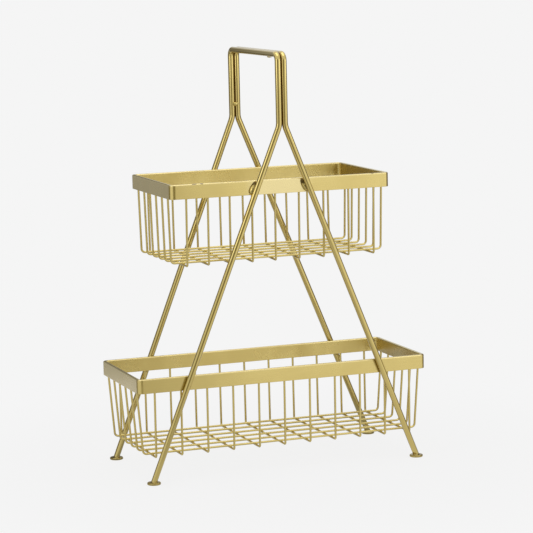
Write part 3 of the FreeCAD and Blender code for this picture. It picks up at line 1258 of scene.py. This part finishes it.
@dataclass
class Basket:
    """One wire basket: a flat-bar rim, cross wires under it and long wires that lie on them."""

    tier: str
    frame: RodFrame
    length: float
    rim_top: float
    basket_depth: float
    cross_count: int
    cross_margin: float
    cross_lean: float
    long_count: int
    long_margin: float
    long_lean: float
    front_bow: float = 0.0
    back_bow: float = 0.0
    rim_leg_gap: float = 0.1 * MM
    rim_height: float = 19.0 * MM
    rim_thickness: float = 4.8 * MM
    rim_corner: float = 7.5 * MM
    top_rounding: float = 1.6 * MM
    bottom_rounding: float = 0.5 * MM
    wire: float = 2.8 * MM
    wire_gap: float = 0.05 * MM
    cross_bend: float = 3.0 * MM
    long_bend: float = 5.0 * MM
    seat: float = 0.4 * MM
    # Size of the painted shadow line behind each leg.
    leg_shadow_reach: Point = (7.5 * MM, 3.0 * MM, 40.0 * MM)
    nugget: ClassVar[dict[str, Span]] = {
        "floor": (3.4 * MM, 2.05 * MM),
        "rim": (3.65 * MM, 1.7 * MM),
    }
    nugget_shares: ClassVar[Span] = (0.85, 1.15)

    @property
    def rim_bottom(self) -> float:
        """Height of the rim's lower edge."""
        return self.rim_top - self.rim_height

    @property
    def rim_middle(self) -> float:
        """Height of the rim's middle line."""
        return self.rim_top - self.rim_height / 2

    @property
    def depth(self) -> float:
        """Outside depth of the rim, which clears the legs at its lower edge."""
        leg = self.frame.leg_at(1, 1, self.rim_bottom)
        return 2 * (leg.y - self.frame.rod / 2 - self.rim_leg_gap)

    @property
    def cross_reach(self) -> float:
        """Middle to the axis of the end cross wire."""
        return self.length / 2 - self.cross_margin

    @property
    def bow_shift(self) -> float:
        """How far the middle cross wire moves to the right as a whole."""
        return (self.back_bow - self.front_bow) / 2

    @property
    def bow_slope(self) -> float:
        """How far the middle cross wire goes to the right for each length it goes back."""
        return (self.front_bow + self.back_bow) / (self.depth - 2 * self.rim_thickness + self.wire)

    @property
    def long_reach(self) -> float:
        """Middle to the axis of the front long wire."""
        return self.depth / 2 - self.long_margin

    def wire_top(self, half_span: float) -> float:
        """Middle to the axis of a wire where it meets the rim."""
        return half_span - self.rim_thickness + self.wire / 2

    def rim_path(self) -> Corners:
        """Lists the corners of the rim's middle line, from the back round to the back again.

        Returns:
            The corners, each with its bend.
        """
        x = (self.length - self.rim_thickness) / 2
        y = (self.depth - self.rim_thickness) / 2
        z = self.rim_middle
        bend = self.rim_corner - self.rim_thickness / 2
        corners = [((i * x, j * y, z), bend) for i, j in ((-1, 1), (-1, -1), (1, -1), (1, 1))]
        return [((0.0, y, z), 0.0), *corners, ((0.0, y, z), 0.0)]

    def painted_leg_shadows(self) -> tuple[Mark, ...]:
        """Lists the painted shadow lines on the rim's outside, behind each leg, where the leg shades the rim.

        Returns:
            The marks.
        """
        level = self.rim_middle
        return tuple(
            Mark(
                middle=(self.frame.leg_at(side, end, level).x, end * self.depth / 2, level),
                reach=self.leg_shadow_reach,
                # Painted shadow of the leg on the rim.
                colour=(0.15, 0.10, 0.008),
                strength=0.85,
                raggedness=0.1,
                fade=0.65,
                slope=-side * math.tan(self.frame.lean),
            )
            for side, end in LEGS
        )

    def wire_path(self, along_x: bool) -> Corners:
        """Lists the corners of one wire.

        Args:
            along_x: True for a long wire, False for a cross wire.

        Returns:
            The corners, each with its bend.
        """
        floor = self.rim_top - self.basket_depth + self.wire / 2
        half_span, bend, lean = self.depth / 2, self.cross_bend, self.cross_lean
        if along_x:
            floor += self.wire + self.wire_gap
            half_span, bend, lean = self.length / 2, self.long_bend, self.long_lean
        top_level = self.rim_bottom + self.seat
        top = self.wire_top(half_span)
        bottom = top - lean
        flat = [(-top, top_level, 0.0), (-bottom, floor, bend), (bottom, floor, bend), (top, top_level, 0.0)]
        return [((out, 0.0, z) if along_x else (0.0, out, z), radius) for out, z, radius in flat]

    def build(
        self, round_bar: BarTree, flat_bar: BarTree, rim: Material, wire: Material,
    ) -> None:
        """Builds the rim and both layers of wires.

        Args:
            round_bar: Tree for round bars.
            flat_bar: Tree for flat bars.
            rim: Finish of the rim.
            wire: Finish of the wires.
        """
        mesh = flat_bar.run(f"{self.tier}_rim_bar", self.rim_path(), {
            "Count": 1,
            "Width": self.rim_thickness,
            "Height": self.rim_height,
            "Top rounding": self.top_rounding,
            "Bottom rounding": self.bottom_rounding,
            "Material": rim,
        })
        place_piece(f"{self.tier}_rim_bar", mesh, [f"{self.tier}_rim"])
        for run, along_x, count, reach in (
            ("cross", False, self.cross_count, self.cross_reach),
            ("long", True, self.long_count, self.long_reach),
        ):
            step = 2 * reach / (count - 1)
            name = f"{self.tier}_{run}_wires"
            mesh = round_bar.run(name, self.wire_path(along_x), {
                "Count": count,
                "First": (0.0, -reach, 0.0) if along_x else (-reach, 0.0, 0.0),
                "Step": (0.0, step, 0.0) if along_x else (step, 0.0, 0.0),
                "Bow shift": (0.0, 0.0, 0.0) if along_x else (self.bow_shift, 0.0, 0.0),
                "Bow turn": (0.0, 0.0, 0.0) if along_x else (0.0, 0.0, -math.atan(self.bow_slope)),
                "Width": self.wire,
                "Material": wire,
            })
            place_piece(name, mesh, [f"{self.tier}_{run}_wire_{i + 1}" for i in range(count)])

    @staticmethod
    def spread(count: int, reach: float) -> list[float]:
        """Spaces wires evenly from one side to the other."""
        return [reach * (2 * i / (count - 1) - 1) for i in range(count)]

    def cross_wire_at(self, index: int, depth: float) -> float:
        """Finds where a cross wire is along X.

        Args:
            index: Its place in the row, from the left.
            depth: How far back along Y.

        Returns:
            The place of its axis.
        """
        even = self.spread(self.cross_count, self.cross_reach)[index]
        share = math.sin(math.pi * index / (self.cross_count - 1))
        return even + share * (self.bow_shift + self.bow_slope * depth)

    def spot_weld_points(self) -> dict[str, list[Point]]:
        """Lists where the wires are welded.

        Returns:
            The points where wires cross on the floor, and those under the rim.
        """
        level = self.rim_top - self.basket_depth + self.wire + self.wire_gap / 2
        across = range(self.cross_count)
        along = self.spread(self.long_count, self.long_reach)
        top_x = self.wire_top(self.length / 2)
        top_y = self.wire_top(self.depth / 2)
        tops = [sign * top_y for sign in ENDS.values()]
        under = [(self.cross_wire_at(i, y), y, self.rim_bottom) for i in across for y in tops]
        under += [(sign * top_x, y, self.rim_bottom) for y in along for sign in SIDES.values()]
        return {"floor": [(self.cross_wire_at(i, y), y, level) for i in across for y in along], "rim": under}

    def weld(self, tree: SpotWeldTree, finish: Material, seed: int) -> None:
        """Builds the spot welds of the wires.

        Args:
            tree: Tree for spot welds.
            finish: Finish of the welds.
            seed: Seed of their unevenness.
        """
        smallest, largest = self.nugget_shares
        for place, points in self.spot_weld_points().items():
            width, height = self.nugget[place]
            name = f"{self.tier}_{place}_spot_welds"
            mesh = tree.run(name, points, {
                "Size": (width, width, height),
                "Smallest": smallest,
                "Largest": largest,
                "Seed": seed,
                "Material": finish,
            })
            place_piece(name, mesh, [])


@dataclass(frozen=True)
class Lamp:
    """One soft box: direction and distance from the basket, size, and brightness against a white of 1."""

    name: str
    azimuth: float
    elevation: float
    distance: float
    width: float
    height: float
    brightness: float

    def build(self, aim: Vector) -> None:
        """Hangs the soft box.

        Args:
            aim: Point that it faces.
        """
        data = bpy.data.lights.new(self.name, "AREA")
        data.shape = "RECTANGLE"
        data.size = self.width
        data.size_y = self.height
        data.energy = self.brightness * math.pi * self.width * self.height
        lamp = add_object(self.name, data)
        out = direction(self.azimuth, self.elevation)
        lamp.location = aim + self.distance * out
        lamp.rotation_euler = out.to_track_quat("Z", "Y").to_euler()
        lamp.visible_camera = False


def direction(azimuth: float, elevation: float) -> Vector:
    """Finds the way from the basket to something around it.

    Args:
        azimuth: Degrees round from the front, to the right.
        elevation: Degrees above the horizon.

    Returns:
        The unit vector.
    """
    turn = math.radians(azimuth)
    rise = math.radians(elevation)
    return Vector((math.sin(turn) * math.cos(rise), -math.cos(turn) * math.cos(rise), math.sin(rise)))


@dataclass(frozen=True)
class Panel:
    """One panel of the light tent: its start and end round the basket, its colour and its skirt's grey."""

    name: str
    start: float
    end: float
    colour: Colour
    skirt: float


@dataclass
class Studio:
    """Floor, background, light tent, lamps and camera."""

    pale: float = 0.913
    ambient: float = 0.7
    floor_radius: float = 40.0
    floor_segments: int = 96
    floor_colour: float = 0.9
    shadow_share: float = 0.10
    shadow_reach: Span = (0.25, 0.6)
    lens_pixels: float = 2337.32
    frame_pixels: float = 533.0
    sensor: float = 36.0
    eye: Point = (-1.082835, -2.925001, 0.700646)
    azimuth: float = -20.4434
    elevation: float = 7.9854
    roll: float = -1.3264
    tent_radius: float = 0.75
    tent_height: float = 0.95
    tent_top: float = 0.7
    skirt_radius: float = 0.02
    skirt_rise: float = 0.0005
    skirt_shade: float = 0.78
    wall_foot: float = 0.95
    tent_segments: int = 180
    lamp_aim: Point = (0.0, 0.0, 0.3)
    panels: tuple[Panel, ...] = (
        Panel("back_dark", -180.0, -164.0, (0.15, 0.135, 0.095), 0.52),
        Panel("left_back_grey", -155.0, -142.0, (0.41, 0.41, 0.40), 0.80),
        Panel("left_brown", -128.0, -104.0, (0.22, 0.20, 0.15), 0.45),
        Panel("left_white", -92.0, -46.0, (0.86, 0.88, 0.95), 0.78),
        Panel("camera_side_brown", -38.0, -12.0, (0.27, 0.245, 0.16), 0.66),
        Panel("right_white", 14.0, 62.0, (1.06, 1.07, 1.12), 0.92),
        Panel("right_back_brown", 78.0, 128.0, (0.23, 0.20, 0.14), 0.45),
        Panel("back_white", 142.0, 168.0, (0.70, 0.70, 0.68), 0.65),
    )
    lamps: tuple[Lamp, ...] = (
        Lamp("top_soft_box", 0.0, 85.0, 2.0, 1.6, 1.6, 1.15),
        Lamp("left_soft_box", -66.0, 24.0, 0.7, 0.2, 0.25, 1.3),
        Lamp("right_soft_box", 45.0, 24.0, 0.7, 0.2, 0.25, 1.0),
    )

    def build(self) -> None:
        """Sets the whole stage."""
        bpy.context.scene.view_settings.view_transform = "Standard"
        self._camera()
        self._world()
        self._floor()
        self._tent()
        for lamp in self.lamps:
            lamp.build(Vector(self.lamp_aim))

    def _camera(self) -> None:
        """Places the camera where the photograph was taken from."""
        data = bpy.data.cameras.new("photo_camera")
        data.sensor_width = self.sensor
        data.lens = self.lens_pixels * self.sensor / self.frame_pixels
        data.clip_end = 2 * self.floor_radius
        camera = add_object("photo_camera", data)
        back = direction(self.azimuth, self.elevation)
        level = direction(self.azimuth + 90, 0.0)
        upright = back.cross(level)
        tilt = math.radians(self.roll)
        right = math.cos(tilt) * level + math.sin(tilt) * upright
        up = math.cos(tilt) * upright - math.sin(tilt) * level
        turn = Matrix((right, up, back)).transposed().to_4x4()
        camera.matrix_world = Matrix.Translation(self.eye) @ turn
        bpy.context.scene.camera = camera

    @staticmethod
    def _seen_or_mirrored(nodes: Nodes) -> Socket:
        """Tells rays that show the background, straight or in metal and glass, from those that only light.

        Args:
            nodes: The tree's nodes.

        Returns:
            1 for a ray that shows the background, otherwise 0.
        """
        path = nodes.add("ShaderNodeLightPath").outputs
        mirrored = nodes.maths("MAXIMUM", path["Is Glossy Ray"], path["Is Transmission Ray"])
        return nodes.maths("MAXIMUM", path["Is Camera Ray"], mirrored)

    def _world(self) -> None:
        """Gives the world its pale background and soft even light."""
        world = bpy.data.worlds.new("studio")
        bpy.context.scene.world = world
        world.use_nodes = True
        world.node_tree.nodes.clear()
        nodes = Nodes(world.node_tree)
        strength = nodes.ramp(self._seen_or_mirrored(nodes), WHOLE, (self.ambient, self.pale))
        shader = nodes.get("ShaderNodeBackground", {"Color": WHITE, "Strength": strength})
        nodes.add("ShaderNodeOutputWorld", {"Surface": shader})

    def _floor(self) -> None:
        """Lays the pale floor, which keeps the basket's soft shadow and fades into the background."""
        material, nodes = new_material("pale_floor")
        far = nodes.vector("LENGTH", nodes.get("ShaderNodeTexCoord", output="Object"))
        share = nodes.ramp(far, self.shadow_reach, (self.shadow_share, 0.0), "SMOOTHSTEP")
        lit = nodes.get("ShaderNodeBsdfDiffuse", {"Color": (self.floor_colour,) * 3 + (1,)})
        even = nodes.get("ShaderNodeEmission", {"Color": WHITE, "Strength": self.pale})
        shown = nodes.get("ShaderNodeMixShader", {0: share, 1: even, 2: lit})
        shader = nodes.get("ShaderNodeMixShader", {0: self._seen_or_mirrored(nodes), 1: lit, 2: shown})
        nodes.add("ShaderNodeOutputMaterial", {"Surface": shader})
        shape = bmesh.new()
        bmesh.ops.create_circle(
            shape, cap_ends=True, cap_tris=True, segments=self.floor_segments, radius=self.floor_radius,
        )
        self._stage("floor", shape, material)

    def _tent(self) -> None:
        """Stands a round tent of grey and white panels about the basket, with a skirt on the floor.

        Only the metal mirrors it.
        """
        material, nodes = new_material("tent_panels")
        tint = nodes.get("ShaderNodeAttribute", output="Color", attribute_name="panel")
        shader = nodes.get("ShaderNodeEmission", {"Color": tint, "Strength": 1.0})
        nodes.add("ShaderNodeOutputMaterial", {"Surface": shader})
        shape = bmesh.new()
        colours = shape.verts.layers.float_color.new("panel")
        columns = []
        for i in range(self.tent_segments):
            azimuth = 360.0 * i / self.tent_segments - 180.0
            wall, skirt = self._panel_at(azimuth)
            column = []
            for radius, height, colour in (
                (self.skirt_radius, self.skirt_rise, self.skirt_shade * skirt),
                (self.tent_radius, self.skirt_rise, skirt),
                (self.tent_radius, self.skirt_rise, self.wall_foot * wall),
                (self.tent_radius, self.tent_top, wall),
                (self.tent_radius, self.tent_height, Vector((self.pale,) * 3)),
            ):
                vert = shape.verts.new(radius * direction(azimuth, 0.0) + Vector((0, 0, height)))
                vert[colours] = (*colour, 1.0)
                column.append(vert)
            columns.append(column)
        for here, after in zip(columns, columns[1:] + columns[:1]):
            for i in range(len(here) - 1):
                shape.faces.new((here[i], after[i], after[i + 1], here[i + 1]))
        tent = self._stage("light_tent", shape, material)
        tent.visible_camera = False
        tent.visible_diffuse = False
        tent.visible_shadow = False
        LOG.info("light_tent: %s", ", ".join(panel.name for panel in self.panels))

    def _panel_at(self, azimuth: float) -> tuple[Vector, Vector]:
        """Finds the tent's colours in one direction: a panel's own, or a blend between two.

        Args:
            azimuth: Degrees round from the front, to the right, from -180 to 180.

        Returns:
            The colours of the wall and of the skirt.
        """
        for panel, after in zip(self.panels, self.panels[1:] + self.panels[:1]):
            gap_end = after.start if after.start > panel.end else after.start + 360.0
            if panel.start <= azimuth < gap_end:
                share = max(0.0, (azimuth - panel.end) / (gap_end - panel.end))
                wall = Vector(panel.colour).lerp(Vector(after.colour), share)
                skirt = panel.skirt + share * (after.skirt - panel.skirt)
                return wall, Vector((skirt,) * 3)
        raise ValueError(f"no panel at {azimuth} degrees")

    @staticmethod
    def _stage(name: str, shape: bmesh.types.BMesh, material: Material) -> bpy.types.Object:
        """Makes a stage object.

        Args:
            name: Its name.
            shape: Its shape, freed afterwards.
            material: Its material.

        Returns:
            The object.
        """
        made = add_object(name, mesh_from(name, shape, material))
        return made


def main() -> None:
    """Builds the basket and its stage in order."""
    logging.basicConfig(level=logging.INFO, format="%(name)s: %(message)s")
    round_bar = BarTree(Section.ROUND)
    flat_bar = BarTree(Section.FLAT)
    rod_finish = ROD_FINISH.make()
    wire_finish = WIRE_FINISH.make()
    foot_finish = FOOT_FINISH.make()
    weld_finish = WELD_FINISH.make()
    rods = RodFrame()
    rods.build(round_bar, rod_finish)
    for end in ENDS.values():
        for side in SIDES.values():
            Foot(side, end, rods).build(foot_finish)
    upper = Basket(
        tier="upper",
        frame=rods,
        length=307.0 * MM,
        rim_top=UPPER_RIM_TOP,
        basket_depth=108.5 * MM,
        cross_count=9,
        cross_margin=22.3 * MM,
        cross_lean=2.0 * MM,
        long_count=6,
        long_margin=21.65 * MM,
        long_lean=2.0 * MM,
        front_bow=8.6 * MM,
        back_bow=4.8 * MM,
    )
    lower = Basket(
        tier="lower",
        frame=rods,
        length=407.5 * MM,
        rim_top=LOWER_RIM_TOP,
        basket_depth=106.5 * MM,
        cross_count=11,
        cross_margin=23.3 * MM,
        cross_lean=1.0 * MM,
        long_count=6,
        long_margin=18.1 * MM,
        long_lean=6.5 * MM,
    )
    spot_welds = SpotWeldTree()
    # The lower rim also gets painted shadow lines behind the legs.
    lower_rim_finish = replace(LOWER_RIM_FINISH, marks=LOWER_RIM_FINISH.marks + lower.painted_leg_shadows())
    for seed, (basket, finish) in enumerate(((upper, UPPER_RIM_FINISH), (lower, lower_rim_finish))):
        basket.build(round_bar, flat_bar, finish.make(), wire_finish)
        basket.weld(spot_welds, weld_finish, seed)
    Welds(rods, upper.depth / 2, upper.rim_middle, lower.rim_bottom).build(weld_finish)
    Studio().build()


if __name__ == "__main__":
    main()
